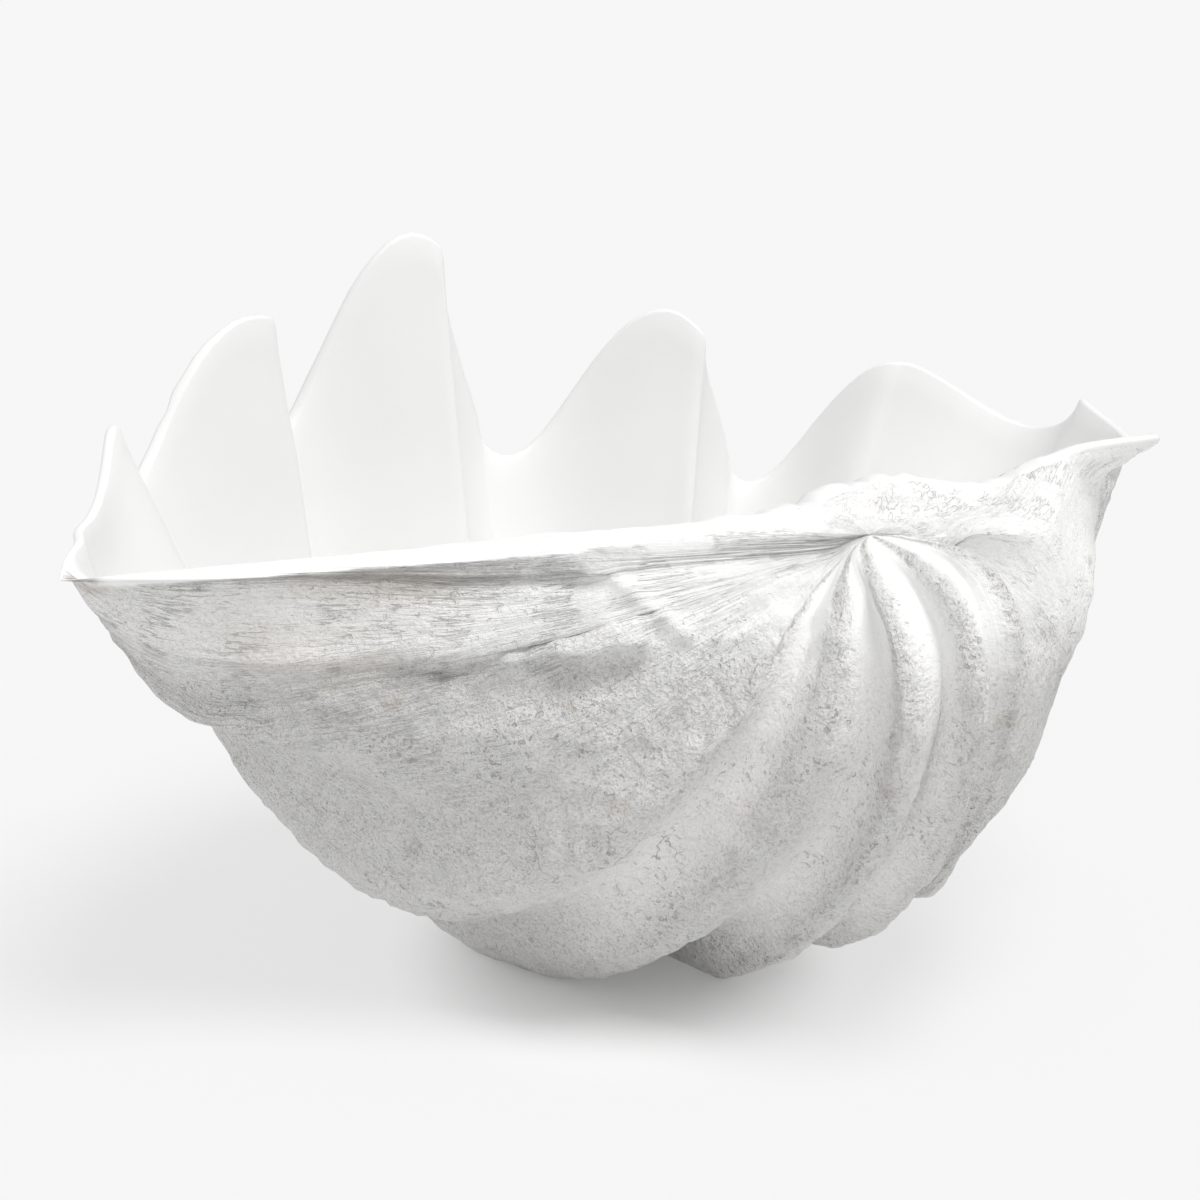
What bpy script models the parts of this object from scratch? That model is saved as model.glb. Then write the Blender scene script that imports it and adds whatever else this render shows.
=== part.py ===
"""One valve of a giant clam, lying on its folded back with its hollow side up.

Growth lines fan out from the umbo to the lip. Deep folds run along them, so the lip rises in
lobes and drops in notches. The outer skin follows the folds and the inner skin is smoother, so
the wall is thick at the umbo and thin at the lip.
"""
from collections import namedtuple

import bmesh
import bpy
import numpy as np

# Sizes in metres. X runs along the hinge side, Y from the hinge side to the far lip, Z up.
# Every "FROM", "OVER", "START" and "FADE" below is a share of a line's way from umbo to lip.
UMBO = np.array([0.150, -0.010, 0.312])
HOLLOW_LEFT = np.array([-0.150, 0.120, 0.260])
HOLLOW_RIGHT = np.array([0.040, 0.150, 0.260])
UMBO_THICKNESS = 0.020
THINNING_OVER = 0.85
LIP_THINNING = 0.45
LIP_THINNING_FROM = 0.88
LIP_ROUNDING = 0.35
FOLD_HEIGHT = 0.034
FOLD_AT_UMBO = 0.17
FOLD_START = 0.10
FOLD_LEAN = 0.022
LEAN_FROM = 0.45
LEAN_OVER = 0.50
INNER_FOLD_FROM = 0.30
INNER_FOLD_OVER = 0.45
RIB_FAN = 0.033
FAN_START = 0.035
FAN_FADE = 0.15
BEAK_REACH = np.array([0.036, -0.006, 0.009])
BEAK_PLACE = 9.02
BEAK_WIDTH = 0.16
BEAK_FROM = 0.92
FOOT_DEPTH = 0.013

# Mesh fineness: growth lines round the lip, and steps from umbo to lip on each skin.
COLUMNS = 100
OUTER_STEPS = 22
INNER_STEPS = 19
CURVE_STEPS = 160
SURVEY_STEPS = 2000
FOLDING_DENSITY = 4.4
LEAST_DENSITY = 0.00025
CORNER_DENSITY = 0.0022
CORNER_PLACE = 2.05
CORNER_WIDTH = 0.15

# A place on the lip is a number from 0 to 11: 0 to 2 is the long hinge side, 2 the left corner,
# 3 to 8 the tips of the six lobes, 9 the beak at the right corner, 9.3 to 11 the umbo's crest.
LIP_TURN = 11.0
FOLDS_FROM = 2.0
FOLDS_TO = 9.0

# lip is the line's end, umbo_pull and lip_pull are the handles of its curve, fold is how deep
# the fold is, lean how far the fold tips sideways, fan how far the line's rib swings to the right
# just below the umbo, and wall the thickness at the lip.
Line = namedtuple("Line", "place lip umbo_pull lip_pull fold lean fan wall")
LINES = (
    Line(0.0, (0.112, 0.014, 0.322), (-0.015, 0.000, 0.002), (0.010, -0.004, -0.003), 0.0, 0.0, 0.0, 0.022),
    Line(1.0, (-0.067, -0.010, 0.308), (-0.080, -0.005, -0.005), (0.070, 0.000, 0.000), 0.0, 0.0, 0.0, 0.020),
    Line(2.0, (-0.293, -0.060, 0.299), (-0.200, 0.000, -0.012), (0.120, 0.015, -0.010), 0.0, 0.0, 0.0, 0.006),
    Line(2.2, (-0.292, -0.040, 0.309), (-0.260, -0.040, -0.060), (0.025, 0.020, -0.110), 0.0, 0.0, 0.0, 0.007),
    Line(2.6, (-0.292, 0.015, 0.312), (-0.325, -0.081, -0.111), (0.018, 0.042, -0.155), 0.3, 0.0, 0.0, 0.011),
    Line(3.0, (-0.295, 0.065, 0.345), (-0.189, -0.135, -0.184), (0.089, 0.055, -0.281), 0.3, 0.4, -0.3, 0.0125),
    Line(4.0, (-0.245, 0.225, 0.380), (-0.029, -0.191, -0.107), (0.058, 0.030, -0.665), 0.8, 1.3, -1.1, 0.0125),
    Line(5.0, (-0.143, 0.375, 0.410), (0.115, -0.260, -0.050), (0.045, -0.050, -0.800), 0.9, 1.0, -1.4, 0.0125),
    Line(6.0, (0.040, 0.430, 0.350), (0.160, -0.295, -0.010), (-0.055, -0.110, -0.735), 1.0, 1.1, -0.8, 0.0125),
    Line(7.0, (0.200, 0.420, 0.320), (0.185, -0.265, 0.030), (-0.180, -0.135, -0.630), 0.8, 0.0, 0.35, 0.0125),
    Line(8.0, (0.326, 0.288, 0.315), (0.170, -0.175, 0.055), (-0.240, -0.075, -0.580), 0.5, 0.0, 0.9, 0.0125),
    Line(9.0, (0.287, 0.080, 0.339), (0.130, -0.060, 0.000), (-0.004, 0.060, -0.190), 0.0, 0.0, 0.0, 0.010),
    Line(9.3, (0.278, 0.074, 0.342), (0.130, -0.055, 0.015), (-0.030, -0.010, -0.060), 0.0, 0.0, 0.0, 0.014),
    Line(9.65, (0.258, 0.068, 0.336), (0.080, -0.025, 0.012), (-0.018, -0.030, -0.025), 0.0, 0.0, 0.0, 0.018),
    Line(10.2, (0.219, 0.045, 0.326), (0.030, 0.000, 0.008), (-0.005, -0.022, -0.012), 0.0, 0.0, 0.0, 0.022),
    Line(10.6, (0.162, 0.030, 0.334), (0.006, 0.010, 0.006), (0.000, -0.014, -0.014), 0.0, 0.0, 0.0, 0.024),
)

# Place of each notch between two lobes, and how much of its growth line it cuts away.
NOTCHES = {3.5: 0.075, 4.5: 0.100, 5.5: 0.113, 6.44: 0.095, 7.5: 0.030}
NOTCH_SHARPNESS = 1.3

Skins = namedtuple("Skins", "outer crown inner")


def ease(x):
    """Smooth step from 0 to 1."""
    x = np.clip(x, 0.0, 1.0)
    return x * x * (3.0 - 2.0 * x)


def round_the_lip(place, values):
    """Monotone cubic through the guide lines' values, closed round the lip."""
    stations = np.array([line.place for line in LINES])
    values = np.array(values, float).reshape(len(LINES), -1)
    gap = np.diff(np.append(stations, stations[0] + LIP_TURN))[:, None]
    rise = (np.roll(values, -1, axis=0) - values) / gap
    gap_before = np.roll(gap, 1, axis=0)
    rise_before = np.roll(rise, 1, axis=0)
    same_way = rise * rise_before > 0.0
    near = 2.0 * gap + gap_before
    far = gap + 2.0 * gap_before
    blend = near / np.where(same_way, rise_before, 1.0) + far / np.where(same_way, rise, 1.0)
    slope = np.where(same_way, (near + far) / blend, 0.0)
    turned = np.mod(place, LIP_TURN)
    i = np.searchsorted(stations, turned, side="right") - 1
    j = (i + 1) % len(stations)
    u = ((turned - stations[i]) / gap[i, 0])[:, None]
    start = (1.0 + 2.0 * u) * (1.0 - u) ** 2 * values[i] + u * (1.0 - u) ** 2 * gap[i] * slope[i]
    end = u * u * (3.0 - 2.0 * u) * values[j] + u * u * (u - 1.0) * gap[i] * slope[j]
    return start + end


def guide(place, field):
    """One property of the guide lines at any place on the lip."""
    return round_the_lip(place, [getattr(line, field) for line in LINES])


def column_places(count):
    """Places on the lip, closer together where it is long or deeply folded."""
    place = np.linspace(0.0, LIP_TURN, SURVEY_STEPS + 1)
    lip = guide(place, "lip")
    middle = 0.5 * (place[1:] + place[:-1])
    folding = FOLDING_DENSITY * FOLD_HEIGHT * guide(middle, "fold")[:, 0] * np.diff(place)
    step = np.hypot(np.linalg.norm(np.diff(lip, axis=0), axis=1), folding) + LEAST_DENSITY
    step += CORNER_DENSITY * np.exp(-((middle - CORNER_PLACE) / CORNER_WIDTH) ** 2)
    walked = np.concatenate([[0.0], np.cumsum(step)])
    return np.interp(np.linspace(0.0, walked[-1], count + 1)[:-1], walked, place)


def notch_depth(place):
    """Share of the line that is missing at a place, greatest in the middle of each notch."""
    depth = np.zeros(len(place))
    for middle, share in NOTCHES.items():
        to_left = (middle - place) / (middle - np.floor(middle))
        to_right = (place - middle) / (np.ceil(middle) - middle)
        off = np.clip(np.maximum(to_left, to_right), 0.0, 1.0)
        depth += share * (0.5 + 0.5 * np.cos(np.pi * off)) ** NOTCH_SHARPNESS
    return depth


def growth_lines(place, share):
    """Unfolded surface: each line as a curve from the umbo, cut off where its notch begins."""
    lip = guide(place, "lip")[:, None]
    umbo_handle = UMBO + guide(place, "umbo_pull")[:, None]
    lip_handle = lip + guide(place, "lip_pull")[:, None]
    t = np.linspace(0.0, 1.0, CURVE_STEPS + 1)[None, :, None]
    curve = (UMBO * (1 - t) ** 3 + 3 * umbo_handle * t * (1 - t) ** 2
             + 3 * lip_handle * t ** 2 * (1 - t) + lip * t ** 3)
    pieces = np.linalg.norm(np.diff(curve, axis=1), axis=2)
    length = np.concatenate([np.zeros((len(place), 1)), np.cumsum(pieces, axis=1)], axis=1)
    length /= length[:, -1:]
    along = share[None, :] * (1.0 - notch_depth(place))[:, None]
    points = np.empty((len(place), len(share), 3))
    for column in range(len(place)):
        for axis in range(3):
            points[column, :, axis] = np.interp(along[column], length[column], curve[column, :, axis])
    return points, along


def unit(vectors):
    """Vectors scaled to a length of one."""
    return vectors / np.maximum(np.linalg.norm(vectors, axis=-1, keepdims=True), 1e-9)


def outward_and_sideways(points):
    """Directions off the unfolded surface and round it, at each of its points."""
    across = np.roll(points, -1, axis=0) - np.roll(points, 1, axis=0)
    down = np.gradient(points, axis=1)
    outward = unit(np.cross(down, across))
    outward[:, 0] = unit(outward[:, 1].mean(axis=0))
    sideways = unit(across)
    sideways[:, 0] = 0.0
    return outward, sideways


def hinge_share(place):
    """1 on the hinge side, 0 round the lobes."""
    wrapped = np.where(place > 5.5, place - LIP_TURN, place)
    return ease((2.6 - wrapped) / 0.6) * ease((wrapped + 2.0) / 0.5)


def wall_direction(points, place, along, outward):
    """Way through the wall: out from the hollow's middle line, but square to the lobes."""
    reach = (points[..., :1] - HOLLOW_LEFT[0]) / (HOLLOW_RIGHT[0] - HOLLOW_LEFT[0])
    middle = HOLLOW_LEFT + np.clip(reach, 0.0, 1.0) * (HOLLOW_RIGHT - HOLLOW_LEFT)
    from_middle = unit(points - middle)
    square = ease((along - 0.35) / 0.40)[:, :, None] * (1.0 - hinge_share(place))[:, None, None]
    return unit(from_middle * (1.0 - square) + outward * square)


def fan_of_ribs(place, along):
    """Sideways shift that sets the ribs side by side just below the umbo."""
    swing = (1.0 - np.exp(-along / FAN_START)) * np.exp(-along / FAN_FADE)
    shift = RIB_FAN * guide(place, "fan") * swing
    return shift[:, :, None] * np.array([1.0, 0.0, 0.0])


def beak(place, along):
    """Pointed overhang at the right corner of the lip."""
    here = np.exp(-((place - BEAK_PLACE) / BEAK_WIDTH) ** 2)[:, None]
    return (here * ease((along - BEAK_FROM) / (1.0 - BEAK_FROM)) ** 1.5)[:, :, None] * BEAK_REACH


def skin(place, steps, inside):
    """Outer or inner skin as a grid of points, columns by steps from the umbo."""
    share = np.linspace(0.0, 1.0, steps + 1)
    points, along = growth_lines(place, share)
    outward, sideways = outward_and_sideways(points)
    folded = ((place > FOLDS_FROM) & (place < FOLDS_TO))[:, None]
    wave = np.where(folded, np.cos(2.0 * np.pi * place)[:, None], 0.0)
    height = FOLD_HEIGHT * (FOLD_AT_UMBO + (1.0 - FOLD_AT_UMBO) * along) * guide(place, "fold")
    lean = FOLD_LEAN * wave * guide(place, "lean") * ease((along - LEAN_FROM) / LEAN_OVER)
    points = points + lean[:, :, None] * sideways + beak(place, along)
    if not inside:
        lift = -wave * height * ease(along / FOLD_START)
        return points + fan_of_ribs(place, along) + lift[:, :, None] * outward
    wall = guide(place, "wall")
    thickness = wall + (UMBO_THICKNESS - wall) * (1.0 - ease(along / THINNING_OVER))
    near_lip = ease((along - LIP_THINNING_FROM) / (1.0 - LIP_THINNING_FROM))
    thickness *= 1.0 - LIP_THINNING * near_lip * (1.0 - hinge_share(place))[:, None]
    depth = thickness + wave * height * ease((along - INNER_FOLD_FROM) / INNER_FOLD_OVER)
    direction = wall_direction(points, place, along, outward)
    return points - depth[:, :, None] * direction


def shell_skins():
    """Both skins and the crown of the lip between them."""
    place = column_places(COLUMNS)
    outer = skin(place, OUTER_STEPS, inside=False)
    inner = skin(place, INNER_STEPS, inside=True)
    wall = np.linalg.norm(outer[:, -1] - inner[:, -1], axis=1, keepdims=True)
    crown = 0.5 * (outer[:, -1] + inner[:, -1])
    crown += LIP_ROUNDING * wall * unit(outer[:, -1] - outer[:, -2])
    return Skins(outer, crown, inner)


def settle(points):
    """Flatten the undersides of the lowest ribs and put the middle of the box at the origin."""
    low = points.reshape(-1, 3).min(axis=0)
    floor = low[2] + FOOT_DEPTH
    points[..., 2] = np.maximum(points[..., 2], floor)
    low = points.reshape(-1, 3).min(axis=0)
    high = points.reshape(-1, 3).max(axis=0)
    return points - np.array([0.5 * (low[0] + high[0]), 0.5 * (low[1] + high[1]), floor])


def shell_mesh():
    """Closed mesh: down the outer skin, over the lip and back along the inner skin."""
    skins = shell_skins()
    grid = np.concatenate([skins.outer, skins.crown[:, None], skins.inner[:, ::-1]], axis=1)
    grid = settle(grid)
    columns, rows = grid.shape[0], grid.shape[1] - 1
    shell = bmesh.new()
    bmesh.ops.create_grid(shell, x_segments=columns, y_segments=rows, size=1.0)
    for vertex in shell.verts:
        column = round((1.0 - vertex.co.x) / 2.0 * columns) % columns
        row = round((vertex.co.y + 1.0) / 2.0 * rows)
        vertex.co = grid[column, row]
    bmesh.ops.remove_doubles(shell, verts=shell.verts, dist=0.00001)
    mesh = bpy.data.meshes.new("clam_shell")
    shell.to_mesh(mesh)
    shell.free()
    mesh.shade_smooth()
    mesh.set_sharp_from_angle(angle=np.radians(60.0))
    return mesh


def chalky_white():
    """Dry white shell, faintly warm."""
    material = bpy.data.materials.new("chalky_white_shell")
    material.use_nodes = True
    shader = material.node_tree.nodes["Principled BSDF"]
    shader.inputs["Base Color"].default_value = (0.84, 0.83, 0.81, 1.0)
    shader.inputs["Roughness"].default_value = 0.65
    shader.inputs["Metallic"].default_value = 0.0
    material.diffuse_color = (0.84, 0.83, 0.81, 1.0)
    return material


def clear_scene():
    """Start with no objects."""
    for item in list(bpy.data.objects):
        bpy.data.objects.remove(item, do_unlink=True)


def build():
    """The whole shell, one piece."""
    clear_scene()
    shell = bpy.data.objects.new("clam_shell", shell_mesh())
    shell.data.materials.append(chalky_white())
    bpy.context.scene.collection.objects.link(shell)
    return shell


build()
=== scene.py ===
"""One valve of a giant clam, lying hollow side up: its fine form, its worn finish and a studio."""
import math
from collections import namedtuple

import bmesh
import bpy
import numpy as np
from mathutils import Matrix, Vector, noise


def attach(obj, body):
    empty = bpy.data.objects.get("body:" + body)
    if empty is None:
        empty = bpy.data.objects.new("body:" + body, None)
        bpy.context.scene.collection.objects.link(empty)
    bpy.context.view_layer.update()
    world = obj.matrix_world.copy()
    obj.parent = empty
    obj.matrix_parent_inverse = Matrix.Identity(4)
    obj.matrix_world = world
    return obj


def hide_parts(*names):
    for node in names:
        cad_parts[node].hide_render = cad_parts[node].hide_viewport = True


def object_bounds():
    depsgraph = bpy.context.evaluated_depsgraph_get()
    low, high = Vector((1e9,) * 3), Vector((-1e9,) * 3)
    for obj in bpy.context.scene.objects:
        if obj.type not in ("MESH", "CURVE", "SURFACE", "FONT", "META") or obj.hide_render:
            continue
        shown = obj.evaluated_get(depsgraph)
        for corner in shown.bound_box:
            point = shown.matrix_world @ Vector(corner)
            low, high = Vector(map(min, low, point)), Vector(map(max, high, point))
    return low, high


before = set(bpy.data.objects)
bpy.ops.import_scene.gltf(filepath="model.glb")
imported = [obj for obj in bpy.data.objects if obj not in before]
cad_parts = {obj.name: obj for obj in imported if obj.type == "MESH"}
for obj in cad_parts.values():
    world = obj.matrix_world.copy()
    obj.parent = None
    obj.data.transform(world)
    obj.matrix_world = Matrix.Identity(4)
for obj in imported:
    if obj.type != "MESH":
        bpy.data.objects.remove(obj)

cad_low, cad_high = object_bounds()

# Sizes in metres. X runs along the hinge side, Y from the hinge side to the far lip, Z up.
# In this first group every FROM, OVER, START and FADE is a share of a line's way from umbo to lip.
UMBO = np.array([0.150, -0.010, 0.312])
HOLLOW_LEFT = np.array([-0.150, 0.120, 0.260])
HOLLOW_RIGHT = np.array([0.040, 0.150, 0.260])
UMBO_THICKNESS = 0.020
THINNING_OVER = 0.85
LIP_THINNING = 0.45
LIP_THINNING_FROM = 0.88
LIP_ROUNDING = 0.35
SQUARE_FROM = 0.35
SQUARE_OVER = 0.40
FOLD_HEIGHT = 0.034
FOLD_AT_UMBO = 0.17
FOLD_START = 0.10
FOLD_LEAN = 0.022
LEAN_FROM = 0.45
LEAN_OVER = 0.50
INNER_FOLD_FROM = 0.30
INNER_FOLD_OVER = 0.45
RIB_FAN = 0.033
FAN_START = 0.035
FAN_FADE = 0.15
BEAK_REACH = np.array([0.036, -0.006, 0.009])
BEAK_PLACE = 9.02
BEAK_WIDTH = 0.16
BEAK_FROM = 0.92
BEAK_SHARPNESS = 1.5
FOOT_DEPTH = 0.013

# Mesh fineness: growth lines round the lip, steps from umbo to lip on each skin, steps over the
# crown, and the last steps of the outer skin, which give the crown its direction.
COLUMNS = 440
OUTER_STEPS = 164
INNER_STEPS = 54
CROWN_STEPS = 4
STEPS_TO_CROWN = 3
CURVE_STEPS = 200
SURVEY_STEPS = 2000
WELD_DISTANCE = 0.00001

# What draws the growth lines closer together, each counted as extra length of lip.
FOLDING_DENSITY = 4.4
LEAST_DENSITY = 0.00025
CORNER_DENSITY = 0.0022
CORNER_PLACE = 2.05
CORNER_WIDTH = 0.15
FLANK_DENSITY = 0.0009
FLANK_PLACES = (2.2, 3.6)
PLATE_DENSITY = 0.0006
PLATE_PLACES = (9.3, 10.9)

# A place on the lip is a number from 0 to 11: 0 to 2 is the long hinge side, 2 the left corner,
# 3 to 8 the tips of the six lobes, 9 the beak at the right corner, 9.3 to 11 the umbo's crest.
LIP_TURN = 11.0
HALF_TURN = 5.5
FOLDS_FROM = 2.0
FOLDS_TO = 9.0

# A stretch has soft ends: where it starts and ends, and over how much it rises and falls.
Stretch = namedtuple("Stretch", "start end rise fall")
HINGE_SIDE = Stretch(-2.0, 2.6, 0.5, 0.6)
HINGE_PLATE = Stretch(9.2, 11.1, 0.3, 0.3)

# lip is the line's end, umbo_pull and lip_pull are the handles of its curve, fold is how deep
# the fold is, lean how far the fold tips sideways, fan how far the line's rib swings to the right
# just below the umbo, and wall the thickness at the lip.
Line = namedtuple("Line", "place lip umbo_pull lip_pull fold lean fan wall")
LINES = (
    Line(0.0, (0.112, 0.014, 0.322), (-0.015, 0.000, 0.002), (0.010, -0.004, -0.003),
         0.0, 0.0, 0.0, 0.022),
    Line(1.0, (-0.067, -0.010, 0.308), (-0.080, -0.005, -0.005), (0.070, 0.000, 0.000),
         0.0, 0.0, 0.0, 0.020),
    Line(2.0, (-0.293, -0.060, 0.299), (-0.200, 0.000, -0.012), (0.120, 0.015, -0.010),
         0.0, 0.0, 0.0, 0.006),
    Line(2.2, (-0.292, -0.040, 0.309), (-0.260, -0.040, -0.060), (0.025, 0.020, -0.110),
         0.0, 0.0, 0.0, 0.007),
    Line(2.6, (-0.292, 0.015, 0.312), (-0.325, -0.081, -0.111), (0.018, 0.042, -0.155),
         0.3, 0.0, 0.0, 0.011),
    Line(3.0, (-0.295, 0.065, 0.345), (-0.189, -0.135, -0.184), (0.089, 0.055, -0.281),
         0.3, 0.4, -0.3, 0.0125),
    Line(4.0, (-0.245, 0.225, 0.380), (-0.029, -0.191, -0.107), (0.058, 0.030, -0.665),
         0.8, 1.3, -1.1, 0.0125),
    Line(5.0, (-0.143, 0.375, 0.410), (0.115, -0.260, -0.050), (0.045, -0.050, -0.800),
         0.9, 1.0, -1.4, 0.0125),
    Line(6.0, (0.040, 0.430, 0.350), (0.160, -0.295, -0.010), (-0.055, -0.110, -0.735),
         1.0, 1.1, -0.8, 0.0125),
    Line(7.0, (0.200, 0.420, 0.320), (0.185, -0.265, 0.030), (-0.180, -0.135, -0.630),
         0.8, 0.0, 0.35, 0.0125),
    Line(8.0, (0.326, 0.288, 0.315), (0.170, -0.175, 0.055), (-0.240, -0.075, -0.580),
         0.5, 0.0, 0.9, 0.0125),
    Line(9.0, (0.287, 0.080, 0.339), (0.130, -0.060, 0.000), (-0.004, 0.060, -0.190),
         0.0, 0.0, 0.0, 0.010),
    Line(9.3, (0.278, 0.074, 0.342), (0.130, -0.055, 0.015), (-0.030, -0.010, -0.060),
         0.0, 0.0, 0.0, 0.014),
    Line(9.65, (0.258, 0.068, 0.336), (0.080, -0.025, 0.012), (-0.018, -0.030, -0.025),
         0.0, 0.0, 0.0, 0.018),
    Line(10.2, (0.219, 0.045, 0.326), (0.030, 0.000, 0.008), (-0.005, -0.022, -0.012),
         0.0, 0.0, 0.0, 0.022),
    Line(10.6, (0.162, 0.030, 0.334), (0.006, 0.010, 0.006), (0.000, -0.014, -0.014),
         0.0, 0.0, 0.0, 0.024),
)

# Place of each notch between two lobes, and how much of its growth line it cuts away.
NOTCHES = {3.5: 0.075, 4.5: 0.100, 5.5: 0.113, 6.44: 0.095, 7.5: 0.030}
NOTCH_SHARPNESS = 1.3

# Lumps are smooth noise: how high they stand, how large each is, and the seed of the noise.
Lumps = namedtuple("Lumps", "height size seed")
SEED_STEP = (17.3, 5.1, 9.7)

# Relief of the worn outside, in metres, and the faint ripples inside. The weathered stretch and
# what is off the lip are shares of the way from umbo to lip.
LUMPS = Lumps(0.0024, 0.050, 1)
GRAIN = Lumps(0.0020, 0.016, 2)
CRUMBS = Lumps(0.0012, 0.0095, 11)
LUMPS_LOST_AT_HINGE = 0.7
GRAIN_LOST_AT_HINGE = 0.6
LEAST_GRAIN = 0.3
WEATHERED = Stretch(0.0, 1.0, 0.05, 0.03)
RIPPLES = Lumps(0.0004, 0.030, 9)
RIPPLES_OFF_LIP = 0.05

# Broad and fine strands: how closely they lie side by side and end to end, and their noise.
Strands = namedtuple("Strands", "side_by_side end_to_end lumps")
STRANDS = (
    Strands(8.0, 2.6, Lumps(1.0, 1.0, 3)),
    Strands(26.0, 6.0, Lumps(0.7, 1.0, 4)),
)
STRAND_HEIGHT = 0.0013
LEAST_STRANDS = 0.2

# Scales follow each other down every line, a little out of step, and lie in patches.
SCALE_HEIGHT = 0.0018
SCALE_COUNT = 30.0
OUT_OF_STEP = Lumps(1.3, 0.045, 5)
PATCHES = Lumps(1.0, 0.045, 6)
PATCHES_FROM = -0.25
PATCHES_OVER = 0.4

# Where the crust lies, round the lip and down each line, and where the strands end on the left
# of the ribs and begin on the right. Each of the pairs is a place and how soft its edge is.
RIB_CRUST = Stretch(3.2, 9.0, 0.6, 0.4)
LOW_CRUST = (0.28, 0.22)
FLANK_CRUST = Stretch(2.2, 3.9, 0.3, 0.5)
FLANK_CRUST_SHARE = 0.75
LEAST_CRUST = 0.25
LEAST_CRUST_OVER = 0.2
STRANDS_LEFT = (3.4, 0.9)
STRANDS_RIGHT = (8.6, 0.4)

# Marks on the hinge side: lines in X and Z, each with its own height and width. A groove below a
# line is a share of its height. How far the shelf's top runs, and the middle and the reach of the
# groove below the sheet, are counted in widths.
LINE_ENDS = (0.030, 0.012)
NEAR_SIDE = 0.02
GROOVE = 0.3
SHELF = ((0.032, 0.256), (-0.045, 0.246), (-0.110, 0.242), (-0.170, 0.230))
SHELF_HEIGHT = 0.0105
SHELF_WIDTH = 0.014
SHELF_EDGE = 0.0025
SHELF_TOP = 2.2
SHELF_LEFT = -0.140
SHELF_LEFT_OVER = 0.07
SHELF_LUMPS = (Lumps(0.006, 0.030, 10), Lumps(0.003, 0.011, 12))
SHEET_EDGE = ((-0.055, 0.303), (-0.020, 0.296), (0.004, 0.288), (0.026, 0.271), (0.057, 0.252))
SHEET_HEIGHT = 0.0045
SHEET_WIDTH = 0.0060
SHEET_GROOVE = (-1.6, 1.5)
SHEET_LUMPS = Lumps(0.002, 0.020, 7)
FLAP_EDGE = ((0.057, 0.252), (0.080, 0.262), (0.103, 0.273))
FLAP_HEIGHT = 0.0030
FLAP_WIDTH = 0.0040
RIM = ((-0.293, 0.299), (-0.067, 0.308), (0.112, 0.322), (0.162, 0.334), (0.219, 0.326))
RIM_BORDER = 0.0055
RIM_BORDER_EDGE = 0.4

# Small scars round one point of the hinge side, given in X and Z, and how far back they go in Y.
SCARS_AT = (0.124, 0.268)
SCARS = Lumps(0.0024, 0.007, 8)
SCARS_REACH = 0.024
SCARS_BACK_TO = 0.05

# Marks on the hinge plate, as place and share of the way from umbo to crest.
RECESS = (10.50, 0.66)
RECESS_REACH = (0.20, 0.13)
RECESS_DEPTH = 0.0045
LEDGE = 0.42
LEDGE_REACH = 0.10
LEDGE_HEIGHT = 0.0018
KNOB = (9.95, 0.95)
KNOB_REACH = (0.07, 0.10)
KNOB_HEIGHT = 0.0035

# Swellings and dents of the outside: place, share of the way to the lip, reach of both, height.
Swelling = namedtuple("Swelling", "place share place_reach share_reach height")
SWELLINGS = (
    Swelling(2.70, 0.72, 0.15, 0.11, 0.0070),
    Swelling(2.52, 0.84, 0.12, 0.06, -0.0055),
    Swelling(2.21, 0.95, 0.10, 0.05, 0.0035),
    Swelling(8.77, 0.58, 0.12, 0.06, -0.0085),
    Swelling(8.97, 0.73, 0.12, 0.07, 0.0040),
)

# The lines blend into one soft boss near the umbo, and into a soft seam below the rim on the
# left, which is first opened a little. The boss and the seam's run are distances from the umbo.
BOSS_REACH = 0.060
BOSS_SOFTNESS = 0.75
SEAM_RUN = Stretch(0.0, 0.330, 0.025, 0.165)
SEAM_PLACE = 2.25
SEAM_WIDTH = 0.26
SEAM_OPENING = Stretch(1.0, 2.4, 1.0, 0.4)
SEAM_SPREAD = (0.0, -0.0030, -0.0080)
BLEND_STEPS = (2, 4, 8, 16, 16, 16)
BLEND_OFF_LIP = 0.30

# Tuck that draws the bulging left corner of the lip back into line.
TUCK_PLACE = 2.62
TUCK_WIDTH = 0.30
TUCK_FROM = 0.80
TUCK_OVER = 0.20
TUCK = (0.0080, 0.0, 0.0)

# Flaked right edge of the outside.
FLAKES = Lumps(0.0030, 0.014, 13)
FLAKES_PLACE = 8.90
FLAKES_WIDTH = 0.25
FLAKES_FROM = 0.30
FLAKES_OVER = 0.10

# Cleaner, whiter part of the outside: right of one X and above one Z, both with a soft edge, less
# of it on the crust from one place on, and a fainter strip over the shelf.
CLEAN_FROM = (-0.080, 0.232)
CLEAN_OVER = (0.120, 0.045)
CRUST_DULLS = 0.8
CRUST_DULLS_FROM = 3.1
CRUST_DULLS_OVER = 0.4
CLEAN_STRIP = Stretch(0.0, 0.045, 0.004, 0.020)
CLEAN_STRIP_SHARE = 0.5

# Width of the smooth border that runs down the outside from the lip, as a share of each line.
LIP_BORDER = 0.016

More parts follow.
